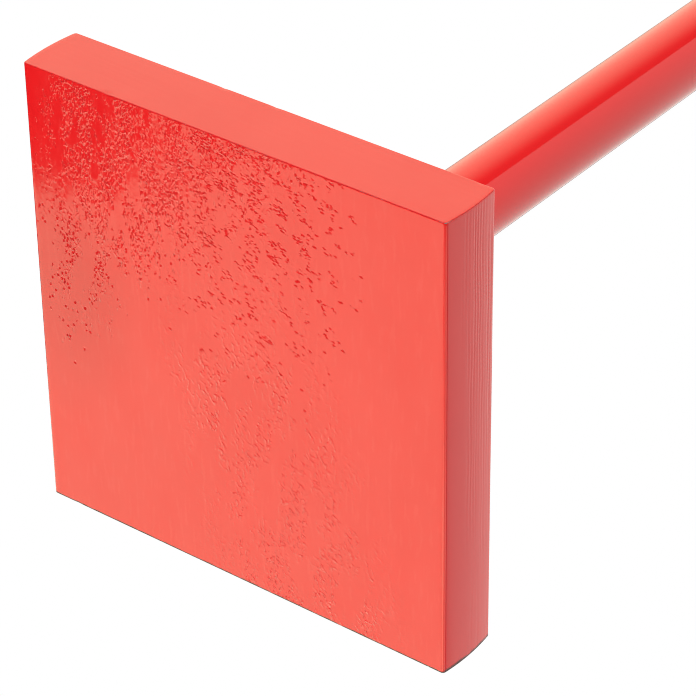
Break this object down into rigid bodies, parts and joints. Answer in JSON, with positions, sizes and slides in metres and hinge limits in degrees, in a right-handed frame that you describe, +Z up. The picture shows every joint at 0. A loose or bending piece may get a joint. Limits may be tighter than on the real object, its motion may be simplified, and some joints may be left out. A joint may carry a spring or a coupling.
{
  "type": "hand tamper",
  "caption": "Hand tamper: a thick square steel plate on a bolted-in tube handle with a ribbed rubber grip, for ramming soil and bedding by hand.",
  "frame": {"origin": "middle of the tamping face, on the handle's axis", "axes": "+Z up the handle, X across the plate between its rolled edges, Y along the plate between its sawn ends"},
  "size_m": [0.2, 0.2, 1.2],
  "materials": {
    "plate_enamel": "glossy red enamel over a pitted hot rolled surface",
    "tube_enamel": "smooth glossy red enamel",
    "socket_enamel": "glossy red enamel over pipe and weld",
    "zinc_plate": "bright zinc plated steel",
    "nylon": "natural nylon",
    "grip_rubber": "matt black moulded rubber"
  },
  "bodies": {
    "root": {"base_plate": "plate_enamel", "handle_socket": "socket_enamel", "socket_weld": "socket_enamel", "handle_tube": "tube_enamel", "socket_bolt": "zinc_plate", "bolt_washers": "zinc_plate", "lock_nut": "zinc_plate", "lock_insert": "nylon", "hand_grip": "grip_rubber"}
  },
  "joints": []
}
